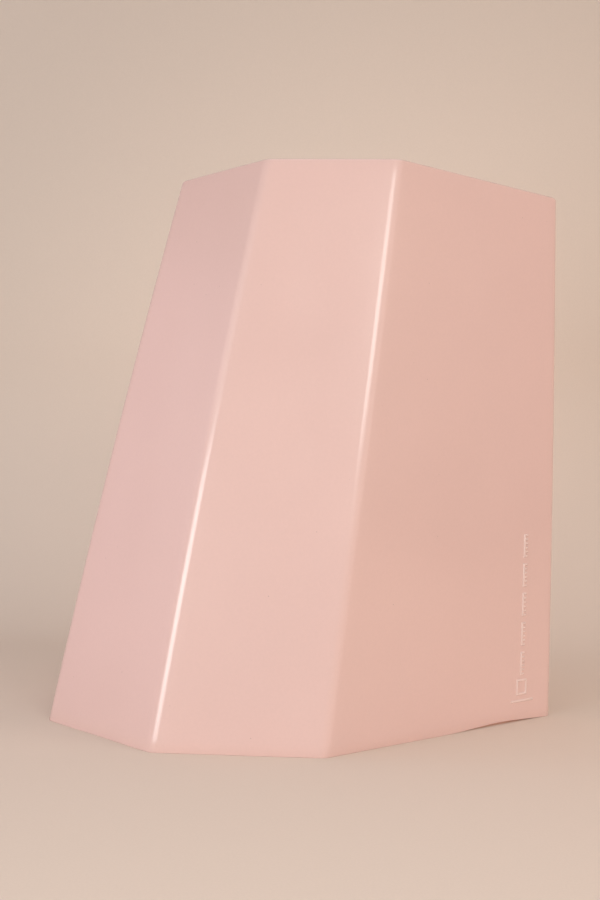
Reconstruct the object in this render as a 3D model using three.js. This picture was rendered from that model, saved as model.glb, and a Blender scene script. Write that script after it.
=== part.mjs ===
// A one-piece faceted stool, rotationally moulded in polyethylene and open underneath.
//
// The plan has seven sides. Two long sides meet in an upright corner, and the other five step round
// it by 45 degrees each: middle, slant, end, slant, middle. The plan is mirrored about the XZ plane.
// Every side shortens from the floor to the seat, so the walls lean in, away from the upright corner.
//
// Millimetres, +Z up. The stool stands on Z = 0, with the upright corner towards +X.
import * as THREE from "three";

// Overall height, and the thickness of the moulded skin.
const HEIGHT = 430;
const WALL = 4.5;

// Length of each kind of side, measured to the sharp corners, at the floor and at the seat.
const FLOOR_SIDES = { long: 258, middle: 124, slant: 139 };
const SEAT_SIDES = { long: 194, middle: 98, slant: 106 };

// How far each kind of side swells out halfway up, as a moulded skin does.
const BELLY = { long: 0.7, middle: 0.5, slant: 2, end: 3 };

// Outside radius of the creases between the walls, and of the edge between the walls and the seat.
const CREASE_RADIUS = 12;
const SEAT_EDGE_RADIUS = 2;
const INNER_EDGE_RADIUS = 3;

// The seat: a flat border, then a slope down to a flat floor.
const BORDER_WIDTH = 15;
const SLOPE_WIDTH = 34;
const DISH_DEPTH = 12;
const DISH_CORNER_RADIUS = 24;

// The hand slot through the seat, along X, and the break on its edges.
const SLOT_LENGTH = 100;
const SLOT_WIDTH = 34;
const SLOT_EDGE_RADIUS = 1.5;

// Steps in the mesh.
const WALL_LEVELS = 6;
const STEPS_PER_45_DEGREES = 3;
const EDGE_STEPS = 2;
const SLOPE_STEPS = 5;

const COLOUR = 0xe9bfb2;
const DIAGONAL = Math.SQRT1_2;

// The upright corner's X, where its two sides would cross. It puts the middle of the stool's length
// at X = 0, and the length is measured to the round crease, at its fullest halfway up.
const CORNER_LOSS = CREASE_RADIUS * (Math.SQRT2 - 1) - BELLY.long * Math.SQRT2;
const FLOOR_SPAN = FLOOR_SIDES.long * DIAGONAL + FLOOR_SIDES.middle + FLOOR_SIDES.slant * DIAGONAL;
const CORNER_X = (FLOOR_SPAN + CORNER_LOSS) / 2;

// The sides in order round the plan. Each faces a direction, in degrees from +X, and is divided
// into a number of steps along its length.
const SIDES = [
  { kind: "long", faces: 45, steps: 5 },
  { kind: "middle", faces: 90, steps: 3 },
  { kind: "slant", faces: 135, steps: 3 },
  { kind: "end", faces: 180, steps: 3 },
  { kind: "slant", faces: 225, steps: 3 },
  { kind: "middle", faces: 270, steps: 3 },
  { kind: "long", faces: 315, steps: 5 },
];

// Distance of each kind of side from the Z axis, for one set of side lengths.
function reachOf({ long, middle, slant }) {
  const halfWidth = long * DIAGONAL;
  const slantStart = CORNER_X - halfWidth - middle;
  return {
    long: CORNER_X * DIAGONAL,
    middle: halfWidth,
    slant: (halfWidth - slantStart) * DIAGONAL,
    end: slant * DIAGONAL - slantStart,
  };
}

const FLOOR_REACH = reachOf(FLOOR_SIDES);
const SEAT_REACH = reachOf(SEAT_SIDES);

// Distance of one kind of side from the Z axis at a share of the height.
function reachAt(kind, share) {
  const straight = THREE.MathUtils.lerp(FLOOR_REACH[kind], SEAT_REACH[kind], share);
  return straight + BELLY[kind] * 4 * share * (1 - share);
}

// Where the lines of two sides cross.
function crossing(a, b) {
  const turn = Math.sin(b.angle - a.angle);
  return new THREE.Vector2(
    (a.reach * Math.sin(b.angle) - b.reach * Math.sin(a.angle)) / turn,
    (b.reach * Math.cos(a.angle) - a.reach * Math.cos(b.angle)) / turn,
  );
}

// The outline of the plan at a share of the height, moved in by an inset, with round corners.
// Each corner is an arc about the crossing of its two sides once they are moved in by the radius.
function outline(share, inset, radius) {
  const lines = SIDES.map(({ kind, faces, steps }) => ({
    angle: THREE.MathUtils.degToRad(faces),
    reach: reachAt(kind, share) - inset - radius,
    steps,
  }));
  const arcs = lines.map((line, i) => {
    const next = lines[(i + 1) % lines.length];
    const centre = crossing(line, next);
    const turn = (next.angle - line.angle + 2 * Math.PI) % (2 * Math.PI);
    const steps = Math.round(turn / (Math.PI / 4)) * STEPS_PER_45_DEGREES;
    return Array.from({ length: steps + 1 }, (_, k) => {
      const angle = line.angle + (turn * k) / steps;
      return new THREE.Vector2(Math.cos(angle), Math.sin(angle)).multiplyScalar(radius).add(centre);
    });
  });
  // After each arc comes the straight stretch of the next side, up to the start of the next arc.
  return arcs.flatMap((arc, i) => {
    const next = (i + 1) % arcs.length;
    const from = arc[arc.length - 1];
    const steps = lines[next].steps;
    const straight = Array.from({ length: steps - 1 }, (_, k) =>
      from.clone().lerp(arcs[next][0], (k + 1) / steps),
    );
    return [...arc, ...straight];
  });
}

// A ring is an outline at a height.
function ring(z, share, inset, radius) {
  return outline(share, inset, radius).map((p) => new THREE.Vector3(p.x, p.y, z));
}

// The slot lies halfway between the ends of the two middle sides, near the centre of mass.
const SLOT_X = CORNER_X - SEAT_SIDES.long * DIAGONAL - SEAT_SIDES.middle / 2;

// A ring of the slot, with one point in the direction of each point of the seat's floor.
function slotRing(z, grow, floor) {
  const radius = SLOT_WIDTH / 2 + grow;
  const centres = (SLOT_LENGTH - SLOT_WIDTH) / 2;
  return floor.map((p) => {
    const direction = new THREE.Vector2(p.x - SLOT_X, p.y).normalize();
    // The flat flank is met first, unless the point lies past the centre of the round end.
    let distance = radius / Math.abs(direction.y);
    if (Math.abs(direction.x * distance) > centres) {
      const along = Math.abs(direction.x) * centres;
      const across = Math.abs(direction.y) * centres;
      distance = along + Math.sqrt(radius ** 2 - across ** 2);
    }
    return new THREE.Vector3(SLOT_X + direction.x * distance, direction.y * distance, z);
  });
}

// The outside of the walls, from the floor up to the seat's edge.
function outsideRings() {
  const top = HEIGHT - SEAT_EDGE_RADIUS;
  return Array.from({ length: WALL_LEVELS + 1 }, (_, k) => {
    const z = (top * k) / WALL_LEVELS;
    return ring(z, z / HEIGHT, 0, CREASE_RADIUS);
  });
}

// A rounded edge from a wall into a level face: its rings run from the wall to the face.
function edgeRings(faceZ, inset, edgeRadius, cornerRadius) {
  return Array.from({ length: EDGE_STEPS }, (_, k) => {
    const angle = ((k + 1) / EDGE_STEPS) * (Math.PI / 2);
    const z = faceZ - edgeRadius * (1 - Math.sin(angle));
    return ring(z, z / HEIGHT, inset + edgeRadius * (1 - Math.cos(angle)), cornerRadius);
  });
}

// The seat's upper or under face, from the inner edge of the border down to the flat floor.
function slopeRings(borderZ) {
  return Array.from({ length: SLOPE_STEPS + 1 }, (_, k) => {
    const share = k / SLOPE_STEPS;
    const fall = (DISH_DEPTH * (1 - Math.cos(Math.PI * share))) / 2;
    const radius = THREE.MathUtils.lerp(CREASE_RADIUS, DISH_CORNER_RADIUS, share);
    return ring(borderZ - fall, 1, BORDER_WIDTH + SLOPE_WIDTH * share, radius);
  });
}

// The slot's wall, from the seat's floor to its underside, with both edges broken.
function slotRings(floor) {
  const top = HEIGHT - DISH_DEPTH;
  const bottom = top - WALL;
  return [
    slotRing(top, SLOT_EDGE_RADIUS, floor),
    slotRing(top - SLOT_EDGE_RADIUS, 0, floor),
    slotRing(bottom + SLOT_EDGE_RADIUS, 0, floor),
    slotRing(bottom, SLOT_EDGE_RADIUS, floor),
  ];
}

// The inside of the walls, from under the seat's edge down to the floor.
function insideRings() {
  const top = HEIGHT - WALL - INNER_EDGE_RADIUS;
  return Array.from({ length: WALL_LEVELS + 1 }, (_, k) => {
    const z = top * (1 - k / WALL_LEVELS);
    return ring(z, z / HEIGHT, WALL, CREASE_RADIUS - WALL);
  });
}

// Joins rings into one closed skin: each ring to the next, and the last to the first.
function closedLoft(rings) {
  const count = rings[0].length;
  const index = [];
  rings.forEach((_, j) => {
    const here = j * count;
    const above = ((j + 1) % rings.length) * count;
    for (let i = 0; i < count; i++) {
      const next = (i + 1) % count;
      index.push(here + i, here + next, above + next, here + i, above + next, above + i);
    }
  });
  const geometry = new THREE.BufferGeometry().setFromPoints(rings.flat());
  geometry.setIndex(index);
  geometry.computeVertexNormals();
  return geometry;
}

// The whole moulding: up the outside, over the seat, through the slot, and back down the inside.
function mouldedShell() {
  const upper = slopeRings(HEIGHT);
  const under = slopeRings(HEIGHT - WALL).reverse();
  const geometry = closedLoft([
    ...outsideRings(),
    ...edgeRings(HEIGHT, 0, SEAT_EDGE_RADIUS, CREASE_RADIUS),
    ...upper,
    ...slotRings(upper[upper.length - 1]),
    ...under,
    ...edgeRings(HEIGHT - WALL, WALL, INNER_EDGE_RADIUS, CREASE_RADIUS - WALL).reverse(),
    ...insideRings(),
  ]);
  const material = new THREE.MeshStandardMaterial({ color: COLOUR, roughness: 0.4, metalness: 0 });
  const mesh = new THREE.Mesh(geometry, material);
  mesh.name = "moulded_shell";
  return mesh;
}

const stool = new THREE.Group();
stool.add(mouldedShell());

export default stool;
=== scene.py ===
"""A one-piece faceted stool in pale-pink polyethylene, on a pale paper sweep.

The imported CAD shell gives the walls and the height. They are measured here, and a finer shell is
lofted over the same walls: rounder creases, softly uneven faces, a trimmed base edge that lifts a
little on one side, a smooth seat with a hand slot, and small raised marks. Metres, +Z up, the upright
corner towards +X.
"""
from math import ceil, cos, pi, radians, sin, sqrt

import bpy
from mathutils import Euler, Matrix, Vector


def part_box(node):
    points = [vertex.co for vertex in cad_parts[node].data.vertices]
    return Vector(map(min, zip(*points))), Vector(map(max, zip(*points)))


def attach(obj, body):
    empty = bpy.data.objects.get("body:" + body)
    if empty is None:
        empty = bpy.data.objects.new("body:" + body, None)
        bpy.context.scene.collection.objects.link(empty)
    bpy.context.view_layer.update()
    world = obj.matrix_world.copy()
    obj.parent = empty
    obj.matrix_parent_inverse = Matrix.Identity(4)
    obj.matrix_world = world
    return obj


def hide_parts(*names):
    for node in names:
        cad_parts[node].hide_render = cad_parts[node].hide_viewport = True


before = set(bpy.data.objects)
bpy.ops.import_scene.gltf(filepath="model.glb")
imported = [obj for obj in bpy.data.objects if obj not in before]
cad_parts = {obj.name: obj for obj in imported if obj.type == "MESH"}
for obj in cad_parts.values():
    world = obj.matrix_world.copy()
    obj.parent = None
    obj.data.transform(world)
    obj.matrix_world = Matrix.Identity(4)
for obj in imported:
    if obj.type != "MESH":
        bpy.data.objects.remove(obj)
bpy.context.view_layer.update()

MM = 0.001
CAD_NODE = "moulded_shell"
BODY = "root"

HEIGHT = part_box(CAD_NODE)[1].z

# ------------------------------------------------------------------ dimensions of the stool

WALL = 4.5 * MM
CREASE_RADIUS = 12 * MM
SEAT_EDGE_RADIUS = 2 * MM
INNER_EDGE_RADIUS = 3 * MM
TRIM_RADIUS = 0.4 * MM

BORDER_WIDTH = 15 * MM
SLOPE_WIDTH = 34 * MM
DISH_DEPTH = 12 * MM
DISH_CORNER_RADIUS = 24 * MM

SLOT_LENGTH = 100 * MM
SLOT_WIDTH = 34 * MM
SLOT_EDGE_RADIUS = 1.5 * MM

# The sides in order round the plan: the direction each faces, in degrees.
FACINGS = (45, 90, 135, 180, 225, 270, 315)

# The base edge of one long side lifts off the floor: how far, at which share of the side's length it
# is fullest, how far the lift reaches from there, and the height on the wall where it is gone.
LIFTED_FACING = 315
LIFT = 1.9 * MM
LIFT_AT = 0.765
LIFT_REACH = 0.26
LIFT_FADES_BY = 60 * MM

# How far the walls wander in and out of true, and where below the seat they come true again.
UNEVENNESS = 0.22 * MM
TRUE_NEAR_SEAT = 60 * MM

# Colours, as linear red, green and blue.
SKIN_COLOUR = (0.73, 0.504, 0.458)
# The raised marks are painted paler than the skin: a painted highlight for the light their edges catch.
MARKS_PAINTED_HIGHLIGHT_COLOUR = (0.79, 0.6, 0.55)
SKIN_ROUGHNESS = 0.22
SKIN_SHINE = 0.8
INSIDE_COLOUR = (0.7, 0.49, 0.43)
POLYETHYLENE_IOR = 1.51

# Depths of the bumps in the skin, inside the hollow and in the paper, and how high up it is rubbed.
PEEL_DEPTH = 0.02 * MM
LUMP_DEPTH = 0.3 * MM
TOOTH_DEPTH = 0.06 * MM
RUBBED_UP_TO = 16 * MM

# The paper's colour, with a painted pool of light on it: the place where it is brightest, as X and Z,
# the distances from there over which the painted light fades, and what is left of it beyond.
PAPER_COLOUR = (0.802, 0.677, 0.578)
PAPER_PAINTED_LIGHT_AT = (0.05, 0, 0.3)
PAPER_FADE = (0.1, 0.72)
PAPER_FAR = 0.79

# The raised marks on the lifted side: places are distances back from the upright crease, and up from
# the floor. Each comb has a rail at the back of its ticks.
MARKS_PROUD = 0.9 * MM
MARKS_SUNK = 0.4 * MM
BAR_FROM, BAR_TO = 29 * MM, 57 * MM
BAR_Z = 16.5 * MM
SQUARE_FROM = 44 * MM
SQUARE_Z = 27.5 * MM
SQUARE_SIZE = 13 * MM
LINE_WIDTH = 2 * MM
TICKS_FROM_Z, TICKS_TO_Z = 38 * MM, 154 * MM
TICKS_START, TICKS_END = 43 * MM, 41 * MM
TICK_PITCH = 3.4 * MM
TICK_LENGTH = 3.4 * MM
TICKS_IN_GROUP = 6
RAIL_BACK = 2.2 * MM
SHARP_FROM = radians(50)

# Mesh steps.
ARC_STEP = radians(4.5)
WALL_STEP = 9 * MM
LEVEL_STEP = 9 * MM
SEAT_STEPS = 16
UNDER_SEAT_STEPS = 10
OUTER_EDGE_STEPS = 5
INNER_EDGE_STEPS = 4
BORDER_STEPS = 3
UNDER_BORDER_STEPS = 2
FLOOR_STEPS = 6
UNDER_FLOOR_STEPS = 4
LIP_STEPS = 4

# ------------------------------------------------------------------ the walls, as CAD has them

WALL_TOP = HEIGHT - SEAT_EDGE_RADIUS
SAME_HEIGHT = 0.1 * MM


def cad_reach(facing, z):
    """How far the CAD shell reaches in a plan direction, among its vertices at one height."""
    direction = Vector((cos(facing), sin(facing)))
    corners = (v.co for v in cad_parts[CAD_NODE].data.vertices)
    return max(co.xy.dot(direction) for co in corners if abs(co.z - z) < SAME_HEIGHT)


def measured_wall(facing):
    """One wall's distance from the Z axis, as a function of height through three CAD levels."""
    low, middle, high = (cad_reach(facing, WALL_TOP * share) for share in (0, 0.5, 1))

    def reach(z):
        share = z / WALL_TOP
        straight = low + (high - low) * share
        belly = middle - (low + high) / 2
        return straight + belly * 4 * share * (1 - share)

    return reach


class Side:
    """One wall: the direction it faces and how far from the Z axis it stands at each height."""

    def __init__(self, facing):
        self.facing = radians(facing)
        self.reach = measured_wall(self.facing)


SIDES = [Side(facing) for facing in FACINGS]
LIFTED_SIDE = FACINGS.index(LIFTED_FACING)
MIDDLE_SIDE = FACINGS.index(270)


def crossing(a, reach_a, b, reach_b):
    """Where the plan lines of two sides cross, at given distances from the Z axis."""
    turn = sin(b.facing - a.facing)
    x = (reach_a * sin(b.facing) - reach_b * sin(a.facing)) / turn
    y = (reach_b * cos(a.facing) - reach_a * cos(b.facing)) / turn
    return Vector((x, y))


# ------------------------------------------------------------------ outlines and rings


class Station:
    """A place round the outline: a corner and an angle on its arc, or a side and a share of it."""

    def __init__(self, corner=None, angle=None, side=None, share=None):
        self.corner, self.angle, self.side, self.share = corner, angle, side, share


def corner_turn(corner):
    """The direction the arc at a corner starts in, and how far it turns."""
    start = SIDES[corner].facing
    end = SIDES[(corner + 1) % len(SIDES)].facing
    return start, (end - start) % (2 * pi)


def corner_centre(corner, z, inset, radius):
    """The centre of the arc at a corner."""
    a, b = SIDES[corner], SIDES[(corner + 1) % len(SIDES)]
    return crossing(a, a.reach(z) - inset - radius, b, b.reach(z) - inset - radius)


def arc_point(corner, angle, z, inset, radius):
    """A point on the arc at a corner."""
    centre = corner_centre(corner, z, inset, radius)
    return centre + Vector((cos(angle), sin(angle))) * radius


def wall_ends(side, z, inset, radius):
    """The two ends of a wall's straight stretch."""
    facing = SIDES[side].facing
    start = arc_point((side - 1) % len(SIDES), facing, z, inset, radius)
    end = arc_point(side, facing, z, inset, radius)
    return start, end


def make_stations():
    """Every arc and wall round the plan, in order, with steps that suit the outside at the floor."""
    stations = []
    for corner in range(len(SIDES)):
        start, turn = corner_turn(corner)
        steps = ceil(turn / ARC_STEP)
        stations += [Station(corner=corner, angle=start + turn * k / steps) for k in range(steps + 1)]
        side = (corner + 1) % len(SIDES)
        a, b = wall_ends(side, 0, 0, CREASE_RADIUS)
        steps = ceil((b - a).length / WALL_STEP)
        stations += [Station(side=side, share=k / steps) for k in range(1, steps)]
    return stations


STATIONS = make_stations()


def outline(z, inset, radius):
    """The plan outline at a height, moved in by an inset, one point for each station."""
    points = []
    for station in STATIONS:
        if station.side is None:
            points.append(arc_point(station.corner, station.angle, z, inset, radius))
        else:
            start, end = wall_ends(station.side, z, inset, radius)
            points.append(start.lerp(end, station.share))
    return points


def flat_ring(level, z, inset, radius):
    """An outline of the walls' plan at one level, drawn at height z."""
    return [Vector((p.x, p.y, z)) for p in outline(level, inset, radius)]


# ------------------------------------------------------------------ the skin's small departures


def wander(station, z):
    """How far a wall stands out of true: two slow waves, and none at the creases or the seat."""
    if station.side is None:
        return 0
    phase = station.side * 1.7
    along, up = station.share, z / HEIGHT
    rising = sin(2 * pi * (1.3 * along + 0.9 * up) + phase)
    falling = 0.7 * sin(2 * pi * (2.1 * up - 0.8 * along) + 2 * phase)
    at_creases = sin(pi * along) ** 2
    at_seat = min(1, (HEIGHT - z) / TRUE_NEAR_SEAT)
    return UNEVENNESS * (rising + falling) * at_creases * at_seat


def base_lift(station):
    """How far the base edge stands off the floor at a station."""
    if station.side != LIFTED_SIDE:
        return 0
    off = (station.share - LIFT_AT) / LIFT_REACH
    return LIFT * cos(off * pi / 2) ** 2 if abs(off) < 1 else 0


def wall_ring(z, inset, radius):
    """A ring on the walls, with their unevenness and the lift of the base edge."""
    ring = []
    fade = max(0, 1 - z / LIFT_FADES_BY) ** 2
    for station, p in zip(STATIONS, outline(z, inset, radius)):
        height = z + base_lift(station) * fade
        if station.side is not None:
            facing = SIDES[station.side].facing
            p = p + Vector((cos(facing), sin(facing))) * wander(station, z)
        ring.append(Vector((p.x, p.y, height)))
    return ring


# ------------------------------------------------------------------ the shell, ring by ring


def outside_rings():
    """Rings round the trimmed edge, then up the outside of the walls."""
    levels = ceil(WALL_TOP / LEVEL_STEP)
    heights = [WALL_TOP * k / levels for k in range(1, levels + 1)]
    trimmed = [
        wall_ring(TRIM_RADIUS * (1 - sin(a)), TRIM_RADIUS * (1 - cos(a)), CREASE_RADIUS)
        for a in (pi / 2, pi / 4, 0)
    ]
    return trimmed + [wall_ring(z, 0, CREASE_RADIUS) for z in heights]


def rounded_edge(face_z, inset, edge_radius, crease_radius, steps):
    """Rings from a wall over a rounded edge to a level face at face_z."""
    rings = []
    for k in range(1, steps + 1):
        a = k / steps * pi / 2
        z = face_z - edge_radius * (1 - sin(a))
        rings.append(flat_ring(z, z, inset + edge_radius * (1 - cos(a)), crease_radius))
    return rings


def seat_rings(border_z, steps):
    """Rings of the seat from its border down a smooth slope to its floor."""
    rings = []
    for k in range(steps + 1):
        share = k / steps
        fall = DISH_DEPTH * (1 - cos(pi * share)) / 2
        radius = CREASE_RADIUS + (DISH_CORNER_RADIUS - CREASE_RADIUS) * share
        rings.append(flat_ring(HEIGHT, border_z - fall, BORDER_WIDTH + SLOPE_WIDTH * share, radius))
    return rings


def slot_centre_x():
    """Halfway along the middle sides at the seat."""
    start, end = wall_ends(MIDDLE_SIDE, HEIGHT, 0, 0)
    return (start.x + end.x) / 2


def slot_ring(z, grow, floor_ring):
    """A ring of the hand slot, one point in the direction of each point of the seat's floor."""
    radius = SLOT_WIDTH / 2 + grow
    centres = (SLOT_LENGTH - SLOT_WIDTH) / 2
    middle = slot_centre_x()
    ring = []
    for p in floor_ring:
        direction = Vector((p.x - middle, p.y)).normalized()
        distance = radius / max(abs(direction.y), 1e-9)
        if abs(direction.x) * distance > centres:
            along, across = abs(direction.x) * centres, abs(direction.y) * centres
            distance = along + sqrt(radius ** 2 - across ** 2)
        ring.append(Vector((middle + direction.x * distance, direction.y * distance, z)))
    return ring


def slot_rings(floor_ring):
    """Rings over the slot's upper lip, down its wall and round its lower lip."""
    top = HEIGHT - DISH_DEPTH
    bottom = top - WALL
    upper, lower = [], []
    for k in range(LIP_STEPS + 1):
        a = k / LIP_STEPS * pi / 2
        grow = SLOT_EDGE_RADIUS * (1 - sin(a))
        drop = SLOT_EDGE_RADIUS * (1 - cos(a))
        upper.append(slot_ring(top - drop, grow, floor_ring))
        lower.append(slot_ring(bottom + drop, grow, floor_ring))
    return upper + lower[::-1]


def between(ring_a, ring_b, steps):
    """Rings spaced evenly between two rings, without either of them."""
    return [[p.lerp(q, k / steps) for p, q in zip(ring_a, ring_b)] for k in range(1, steps)]


def inside_rings():
    """Rings down the inside of the walls, then round the trimmed edge."""
    crease = CREASE_RADIUS - WALL
    top = HEIGHT - WALL - INNER_EDGE_RADIUS
    levels = ceil(top / (2 * LEVEL_STEP))
    heights = [top * (1 - k / levels) for k in range(levels)]
    rings = [wall_ring(z, WALL, crease) for z in heights]
    trimmed = [
        wall_ring(TRIM_RADIUS * (1 - sin(a)), WALL - TRIM_RADIUS * (1 - cos(a)), crease)
        for a in (0, pi / 4, pi / 2)
    ]
    return rings + trimmed


def shell_rings():
    """All rings of the moulding in order, and the number of them that belong to the outside."""
    upper = seat_rings(HEIGHT, SEAT_STEPS)
    under = seat_rings(HEIGHT - WALL, UNDER_SEAT_STEPS)[::-1]
    slot = slot_rings(upper[-1])
    outer_edge = rounded_edge(HEIGHT, 0, SEAT_EDGE_RADIUS, CREASE_RADIUS, OUTER_EDGE_STEPS)
    inner_edge = rounded_edge(
        HEIGHT - WALL, WALL, INNER_EDGE_RADIUS, CREASE_RADIUS - WALL, INNER_EDGE_STEPS
    )[::-1]
    outside = [
        *outside_rings(),
        *outer_edge,
        *between(outer_edge[-1], upper[0], BORDER_STEPS),
        *upper,
        *between(upper[-1], slot[0], FLOOR_STEPS),
        *slot,
    ]
    inside = [
        *between(slot[-1], under[0], UNDER_FLOOR_STEPS),
        *under,
        *between(under[-1], inner_edge[0], UNDER_BORDER_STEPS),
        *inner_edge,
        *inside_rings(),
    ]
    return outside + inside, len(outside)


def smooth_mesh(name, vertices, faces):
    """A smooth-shaded mesh."""
    mesh = bpy.data.meshes.new(name)
    mesh.from_pydata(vertices, [], faces)
    mesh.polygons.foreach_set("use_smooth", [True] * len(faces))
    mesh.update()
    return mesh


def shell_mesh():
    """The closed skin. Faces inside the hollow take the second material."""
    rings, outside_count = shell_rings()
    count = len(STATIONS)
    faces, material_indices = [], []
    for j in range(len(rings)):
        here, above = j * count, ((j + 1) % len(rings)) * count
        for i in range(count):
            k = (i + 1) % count
            faces.append((here + i, here + k, above + k, above + i))
            material_indices.append(1 if outside_count <= j < len(rings) - 1 else 0)
    mesh = smooth_mesh("moulded_shell_skin", [p for ring in rings for p in ring], faces)
    mesh.polygons.foreach_set("material_index", material_indices)
    return mesh


# ------------------------------------------------------------------ the raised marks


def on_wall(side, back, z, out):
    """A point on a wall: how far back from the crease at its end, how high and how far out."""
    start, end = wall_ends(side, z, 0, 0)
    p = end + (start - end).normalized() * back
    flat_start, flat_end = wall_ends(side, z, 0, CREASE_RADIUS)
    share = (p - flat_start).length / (flat_end - flat_start).length
    facing = SIDES[side].facing
    p += Vector((cos(facing), sin(facing))) * (out + wander(Station(side=side, share=share), z))
    return Vector((p.x, p.y, z))


# Half the crowned cross-section of a raised line: how far in from its foot, and how far out of the
# wall.
LINE_SECTION = [(0, -MARKS_SUNK)] + [
    (LINE_WIDTH / 2 * share, MARKS_PROUD * (1 - (1 - share) ** 2))
    for share in (0, 0.25, 0.5, 0.75, 0.95)
]

# The corners of a mark, in order: along the wall, away from the upright crease, and up it.
CORNERS = ((1, -1), (-1, -1), (-1, 1), (1, 1))


def raised_block(side, back, z, length, height):
    """A crowned bar on a wall, centred at a place: its vertices and faces."""
    vertices = [
        on_wall(side, back + u * (length / 2 - inset), z + v * (height / 2 - inset), out)
        for inset, out in LINE_SECTION
        for u, v in CORNERS
    ]
    top = len(vertices) - 4
    faces = [(3, 2, 1, 0), (top, top + 1, top + 2, top + 3)]
    for ring in range(0, top, 4):
        for i in range(4):
            k = (i + 1) % 4
            faces.append((ring + i, ring + k, ring + 4 + k, ring + 4 + i))
    return vertices, faces


def raised_square(side, back, z, size):
    """A crowned square outline on a wall, centred at a place: its vertices and faces."""
    outer = [(size / 2 - inset, out) for inset, out in LINE_SECTION]
    inner = [(size / 2 - LINE_WIDTH + inset, out) for inset, out in reversed(LINE_SECTION)]
    section = outer + inner
    vertices = [
        on_wall(side, back + u * reach, z + v * reach, out)
        for u, v in CORNERS
        for reach, out in section
    ]
    n = len(section)
    faces = []
    for corner in range(4):
        here, there = corner * n, (corner + 1) % 4 * n
        for i in range(n):
            k = (i + 1) % n
            faces.append((here + i, there + i, there + k, here + k))
    return vertices, faces


def raised_marks():
    """A bar, a square outline and combs of ticks, each a closed solid sunk a little into the wall."""
    side = LIFTED_SIDE
    bar_middle = (BAR_FROM + BAR_TO) / 2
    solids = [
        raised_block(side, bar_middle, BAR_Z, BAR_TO - BAR_FROM, LINE_WIDTH),
        raised_square(side, SQUARE_FROM, SQUARE_Z, SQUARE_SIZE),
    ]
    rail = (TICKS_IN_GROUP - 1) * TICK_PITCH
    for k in range(round((TICKS_TO_Z - TICKS_FROM_Z) / TICK_PITCH) + 1):
        place = k % (TICKS_IN_GROUP + 1)
        z = TICKS_FROM_Z + k * TICK_PITCH
        share = (z - TICKS_FROM_Z) / (TICKS_TO_Z - TICKS_FROM_Z)
        back = TICKS_START + (TICKS_END - TICKS_START) * share
        if place < TICKS_IN_GROUP:
            solids.append(raised_block(side, back, z, TICK_LENGTH, LINE_WIDTH))
        if place == 0 and z + rail < TICKS_TO_Z:
            middle = z + rail / 2
            solids.append(raised_block(side, back + RAIL_BACK, middle, LINE_WIDTH, rail + LINE_WIDTH))
    vertices, faces = [], []
    for solid_vertices, solid_faces in solids:
        faces += [tuple(len(vertices) + i for i in face) for face in solid_faces]
        vertices += solid_vertices
    mesh = smooth_mesh("raised_marks", vertices, faces)
    mesh.set_sharp_from_angle(angle=SHARP_FROM)
    return mesh


# ------------------------------------------------------------------ materials


def add(tree, kind, inputs=None, **settings):
    """A new node with its settings. Each named input gets a value, or joins another node's output."""
    node = tree.nodes.new(kind)
    for key, value in settings.items():
        setattr(node, key, value)
    for key, value in (inputs or {}).items():
        if isinstance(value, bpy.types.NodeSocket):
            tree.links.new(value, node.inputs[key])
        else:
            node.inputs[key].default_value = value
    return node


# Where most of a noise's values lie.
NOISE_RANGE = (0.3, 0.7)


def noise(tree, place, scale, detail=2.0):
    """Noise between 0 and 1, with a number of waves in a metre."""
    inputs = {"Vector": place, "Scale": scale, "Detail": detail}
    return add(tree, "ShaderNodeTexNoise", inputs).outputs["Fac"]


def remap(tree, value, old, new, smooth=False):
    """A value moved from one range to another, and kept inside it."""
    inputs = {
        "Value": value,
        "From Min": old[0],
        "From Max": old[1],
        "To Min": new[0],
        "To Max": new[1],
    }
    kind = "SMOOTHSTEP" if smooth else "LINEAR"
    return add(tree, "ShaderNodeMapRange", inputs, interpolation_type=kind).outputs["Result"]


def mottle(tree, place, scale, detail, darkest, lightest):
    """Noise spread between two values."""
    return remap(tree, noise(tree, place, scale, detail), NOISE_RANGE, (darkest, lightest))


def times(tree, a, b):
    """The product of two values."""
    return add(tree, "ShaderNodeMath", {0: a, 1: b}, operation="MULTIPLY").outputs[0]


def plus(tree, a, b):
    """The sum of two values."""
    return add(tree, "ShaderNodeMath", {0: a, 1: b}, operation="ADD").outputs[0]


def shaded(tree, colour, strength):
    """A colour made lighter or darker by a value near 1."""
    scaled = add(tree, "ShaderNodeVectorMath", {0: colour, "Scale": strength}, operation="SCALE")
    return scaled.outputs[0]


def specks(tree, place, scale, size, share):
    """1 at small spots, one for a share of the cells of a 3D pattern, and 0 elsewhere."""
    cells = add(tree, "ShaderNodeTexVoronoi", {"Vector": place, "Scale": scale})
    spot = remap(tree, cells.outputs["Distance"], (size * scale, 1.6 * size * scale), (1, 0))
    pick = add(tree, "ShaderNodeSeparateColor", {"Color": cells.outputs["Color"]}).outputs["Red"]
    chosen = add(tree, "ShaderNodeMath", {0: pick, 1: share}, operation="LESS_THAN").outputs[0]
    return times(tree, spot, chosen)


def new_material(name):
    """A material with a Principled shader, with its tree, its shader and a place in metres."""
    material = bpy.data.materials.new(name)
    material.use_nodes = True
    tree = material.node_tree
    place = add(tree, "ShaderNodeTexCoord").outputs["Object"]
    return material, tree, tree.nodes["Principled BSDF"], place


def join(tree, shader, colour, roughness, height, bump_depth):
    """Feed a shader its colour, its roughness and a bump of a real depth in metres."""
    bump = add(tree, "ShaderNodeBump", {"Height": height, "Distance": bump_depth, "Strength": 1.0})
    tree.links.new(colour, shader.inputs["Base Color"])
    tree.links.new(roughness, shader.inputs["Roughness"])
    tree.links.new(bump.outputs["Normal"], shader.inputs["Normal"])


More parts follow.
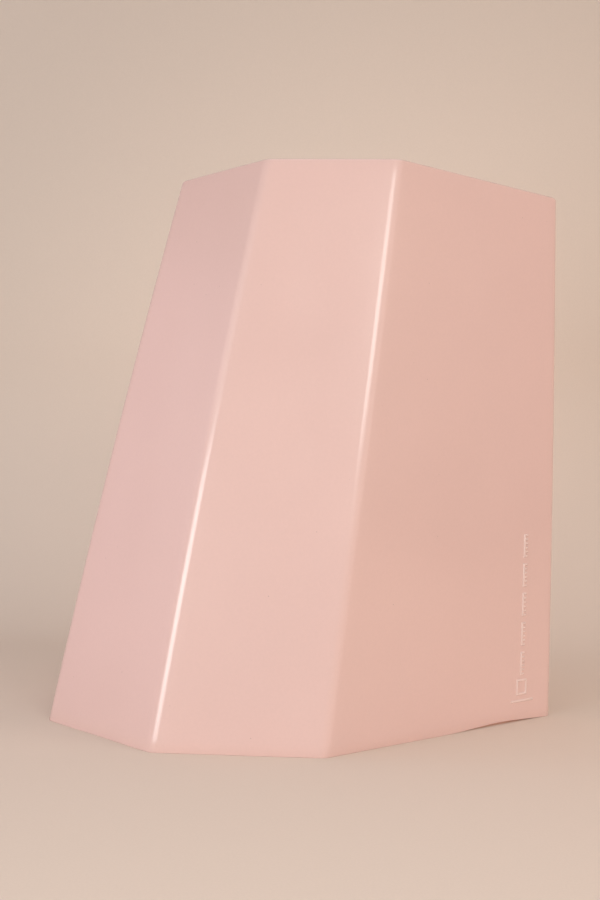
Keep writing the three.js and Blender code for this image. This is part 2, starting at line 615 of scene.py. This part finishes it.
def outside_plastic(name, base_colour):
    """Satin self-coloured polyethylene, as it leaves a smooth mould, with a little wear at the base."""
    material, tree, shader, place = new_material(name)
    shader.inputs["IOR"].default_value = POLYETHYLENE_IOR
    shader.inputs["Specular IOR Level"].default_value = SKIN_SHINE
    cloud = mottle(tree, place, 9, 2, 0.985, 1.012)
    pigment = mottle(tree, place, 520, 3, 0.99, 1.01)
    dust = remap(tree, specks(tree, place, 90, 0.3 * MM, 0.25), (0, 1), (1, 0.72))
    colour = shaded(tree, base_colour, times(tree, times(tree, cloud, pigment), dust))
    # Dull where the foot has been rubbed along floors.
    height = add(tree, "ShaderNodeSeparateXYZ", {"Vector": place}).outputs["Z"]
    near_base = remap(tree, height, (0, RUBBED_UP_TO), (1, 0), smooth=True)
    rubbed = times(tree, near_base, remap(tree, noise(tree, place, 60, 4), (0.4, 0.7), (0, 0.04)))
    satin = mottle(tree, place, 26, 4, SKIN_ROUGHNESS - 0.025, SKIN_ROUGHNESS + 0.025)
    peel = plus(tree, noise(tree, place, 240), times(tree, noise(tree, place, 1400), 0.25))
    join(tree, shader, colour, plus(tree, satin, rubbed), peel, PEEL_DEPTH)
    return material


def inside_plastic():
    """The same plastic where no mould smoothed it: dull and faintly lumpy, with small pits, painted
    darker as shade in them.
    """
    material, tree, shader, place = new_material("polyethylene_inside")
    shader.inputs["IOR"].default_value = POLYETHYLENE_IOR
    cloud = mottle(tree, place, 14, 3, 0.94, 1.03)
    pits = specks(tree, place, 160, 0.5 * MM, 0.4)
    # Painted shade: the colour is darker at the pits.
    colour = shaded(tree, INSIDE_COLOUR, times(tree, cloud, remap(tree, pits, (0, 1), (1, 0.8))))
    dull = mottle(tree, place, 40, 4, 0.5, 0.66)
    lumps = plus(tree, noise(tree, place, 120, 3), times(tree, pits, -0.6))
    join(tree, shader, colour, dull, lumps, LUMP_DEPTH)
    return material


def paper():
    """Matt one-sided background paper with a fine tooth, with painted light: brightest near the stool
    and painted darker far from it.
    """
    material, tree, shader, place = new_material("paper")
    shader.inputs["Specular IOR Level"].default_value = 0.2
    across = add(
        tree, "ShaderNodeVectorMath", {0: place, 1: (1, 0, 1)}, operation="MULTIPLY"
    ).outputs[0]
    away = add(
        tree, "ShaderNodeVectorMath", {0: across, 1: PAPER_PAINTED_LIGHT_AT}, operation="DISTANCE"
    ).outputs["Value"]
    # Painted light: the paper's colour is brightest at one place near the stool and darker away from
    # it.
    painted_light_falloff = remap(tree, away, PAPER_FADE, (1, PAPER_FAR), smooth=True)
    fibre = mottle(tree, place, 650, 5, 0.985, 1.015)
    colour = shaded(tree, PAPER_COLOUR, times(tree, painted_light_falloff, fibre))
    rough = mottle(tree, place, 90, 2, 0.85, 0.95)
    join(tree, shader, colour, rough, noise(tree, place, 800, 4), TOOTH_DEPTH)
    # Clear from its back, so the stool can be looked at from behind and from below.
    back = add(tree, "ShaderNodeNewGeometry").outputs["Backfacing"]
    clear = add(tree, "ShaderNodeBsdfTransparent").outputs["BSDF"]
    mix = add(tree, "ShaderNodeMixShader", {0: back, 1: shader.outputs["BSDF"], 2: clear})
    tree.links.new(mix.outputs["Shader"], tree.nodes["Material Output"].inputs["Surface"])
    return material


# ------------------------------------------------------------------ the stage, camera and lights

CAMERA_AT = Vector((0.0549, -1.0540, 0.2036))
CAMERA_AZIMUTH = radians(-3.59)
CAMERA_PITCH = radians(0.70)
CAMERA_ROLL = radians(1.01)
LENS_MM = 50
SENSOR_MM = 36
FAR_CLIP = 50

# The paper: how wide it is to each side, where its curve up starts, the curve's radius and its top.
PAPER_HALF_WIDTH = 4.0
CURVE_START = 0.32
CURVE_RADIUS = 0.35
CURVE_STEPS = 24
PAPER_TOP = 3.0
BEYOND_DROP = 0.2 * MM


def place_in_scene(obj):
    """Put an object in the scene."""
    bpy.context.scene.collection.objects.link(obj)
    return obj


def make_camera():
    """A 50 mm lens at the height of the middle of the stool, turned a little to the left."""
    data = bpy.data.cameras.new("camera")
    data.lens = LENS_MM
    data.sensor_width = SENSOR_MM
    data.clip_end = FAR_CLIP
    camera = place_in_scene(bpy.data.objects.new("camera", data))
    heading = Euler((0, 0, -CAMERA_AZIMUTH)).to_matrix()
    tilt = Euler((pi / 2 + CAMERA_PITCH, 0, 0)).to_matrix()
    roll = Euler((0, 0, CAMERA_ROLL)).to_matrix()
    camera.matrix_world = (heading @ tilt @ roll).to_4x4()
    camera.location = CAMERA_AT
    bpy.context.scene.camera = camera


def paper_sheet(name, profile, half_width, material):
    """A sheet across the stage along X, through (y, z) points of the stage."""
    vertices = [(x, y, z) for y, z in profile for x in (-half_width, half_width)]
    faces = [(2 * k, 2 * k + 1, 2 * k + 3, 2 * k + 2) for k in range(len(profile) - 1)]
    mesh = smooth_mesh(name, vertices, faces)
    mesh.materials.append(material)
    place_in_scene(bpy.data.objects.new(name, mesh))


def make_sweep():
    """Pale paper: flat under the stool, curving up into a backdrop, with a floor beyond it."""
    turns = [pi / 2 * k / CURVE_STEPS for k in range(CURVE_STEPS + 1)]
    curve = [(CURVE_START + CURVE_RADIUS * sin(a), CURVE_RADIUS * (1 - cos(a))) for a in turns]
    upright = (CURVE_START + CURVE_RADIUS, PAPER_TOP)
    half = PAPER_HALF_WIDTH
    material = paper()
    paper_sheet("paper_sweep", [(-half, 0), *curve, upright], half, material)
    paper_sheet("floor_beyond", [(CURVE_START, -BEYOND_DROP), (half, -BEYOND_DROP)], half, material)


def area_light(name, at, aim, width, height, radiance, colour):
    """A flat light facing a point, of a given radiance. Its own glow isn't seen by the camera."""
    data = bpy.data.lights.new(name, "AREA")
    data.shape = "RECTANGLE"
    data.size, data.size_y = width, height
    data.energy = radiance * pi * width * height
    data.color = colour
    light = bpy.data.objects.new(name, data)
    light.location = at
    light.rotation_euler = (Vector(aim) - Vector(at)).to_track_quat("-Z", "Y").to_euler()
    light.visible_camera = False
    return place_in_scene(light)


def polar(target, azimuth, elevation, distance):
    """A place seen from a target at an azimuth from -Y, positive towards +X, and an elevation."""
    a, e = radians(azimuth), radians(elevation)
    return target + Vector((sin(a) * cos(e), -cos(a) * cos(e), sin(e))) * distance


BODY_AIM = Vector((0, 0, 0.2))
ALL_ROUND_COLOUR = (1, 1, 1, 1)
ALL_ROUND_LIGHT = 0.2

# Each light: its aim, its azimuth, elevation and distance from there, its width and height, and its
# radiance and colour. The streaks are placed so that each shows as one bright line along a crease.
LIGHTS = {
    "left_streak": (
        Vector((-0.08, -0.17, 0.12)), (-36, 7.7, 1.3), (0.72, 0.54), 6.15, (0.96, 0.96, 0.95)
    ),
    "front_streak": (
        Vector((0.05, -0.15, 0.32)), (20, 17.5, 1.6), (0.78, 0.52), 5.1, (0.95, 0.96, 0.92)
    ),
    "upper_left_strip": (
        Vector((-0.08, -0.15, 0.35)), (-45, 22, 1.7), (1.6, 0.35), 0.9, (1, 0.97, 0.95)
    ),
    "left_card": (BODY_AIM, (-88, 11, 2.2), (2.6, 1.2), 0.58, (1, 0.63, 0.74)),
    "left_spill": (Vector((-0.45, 0.67, 0.45)), (-45, 5, 1.1), (0.5, 0.4), 3.0, (0.75, 0.93, 1)),
    "right_card": (BODY_AIM, (46, 20, 1.9), (2.0, 1.2), 0.66, (1, 0.92, 0.88)),
    "low_right_card": (BODY_AIM, (66, 9, 1.7), (0.9, 0.5), 5.4, (1, 0.81, 0.68)),
    "low_front_card": (BODY_AIM, (-10, 2, 1.5), (0.9, 0.4), 1.0, (0.7, 0.9, 1)),
    "over": (Vector((0, -0.1, 0)), (0, 83, 2.4), (2.4, 2.0), 0.95, (1, 0.95, 1)),
    "back_card": (BODY_AIM, (180, 70, 1.5), (1.0, 0.5), 0.7, (1, 0.97, 0.95)),
}

# Cards that light the skin but aren't mirrored in it, and strips that are only mirrored in it.
NOT_MIRRORED = ("low_right_card", "right_card", "low_front_card", "left_spill", "back_card")
ONLY_MIRRORED = ("upper_left_strip",)

# What passes through the plastic and glows inside the hollow: each light's place, aim, size, radiance
# and colour.
INSIDE_LIGHTS = {
    "through_the_skin": ((0.02, 0, 0.38), (0.02, 0, 0), 0.14, 2, (1, 0.6, 0.5)),
    "through_the_foot": ((0.02, -0.02, 0.06), (0.06, -0.08, 0), 0.16, 1.0, (1, 0.45, 0.32)),
}


def make_lights():
    """An even dim world, the studio's lights round the stool, and the glow inside it."""
    world = bpy.data.worlds.new("studio")
    world.use_nodes = True
    background = world.node_tree.nodes["Background"]
    background.inputs["Color"].default_value = ALL_ROUND_COLOUR
    background.inputs["Strength"].default_value = ALL_ROUND_LIGHT
    bpy.context.scene.world = world
    for name, (aim, place, (width, height), radiance, colour) in LIGHTS.items():
        light = area_light(name, polar(aim, *place), aim, width, height, radiance, colour)
        light.visible_glossy = name not in NOT_MIRRORED
        light.visible_diffuse = name not in ONLY_MIRRORED
    for name, (at, aim, size, radiance, colour) in INSIDE_LIGHTS.items():
        area_light(name, at, aim, size, size, radiance, colour)


# ------------------------------------------------------------------ build

make_camera()
make_sweep()
make_lights()

shell_data = shell_mesh()
shell_data.materials.append(outside_plastic("polyethylene", SKIN_COLOUR))
shell_data.materials.append(inside_plastic())
shell = place_in_scene(bpy.data.objects.new("stool_shell", shell_data))
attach(shell, BODY)
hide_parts(CAD_NODE)

marks_data = raised_marks()
# The marks' paler colour is a painted highlight for the light their edges catch.
marks_data.materials.append(outside_plastic("polyethylene_painted_highlight", MARKS_PAINTED_HIGHLIGHT_COLOUR))
marks = place_in_scene(bpy.data.objects.new("raised_marks", marks_data))
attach(marks, BODY)

bpy.context.scene.view_settings.view_transform = "Standard"
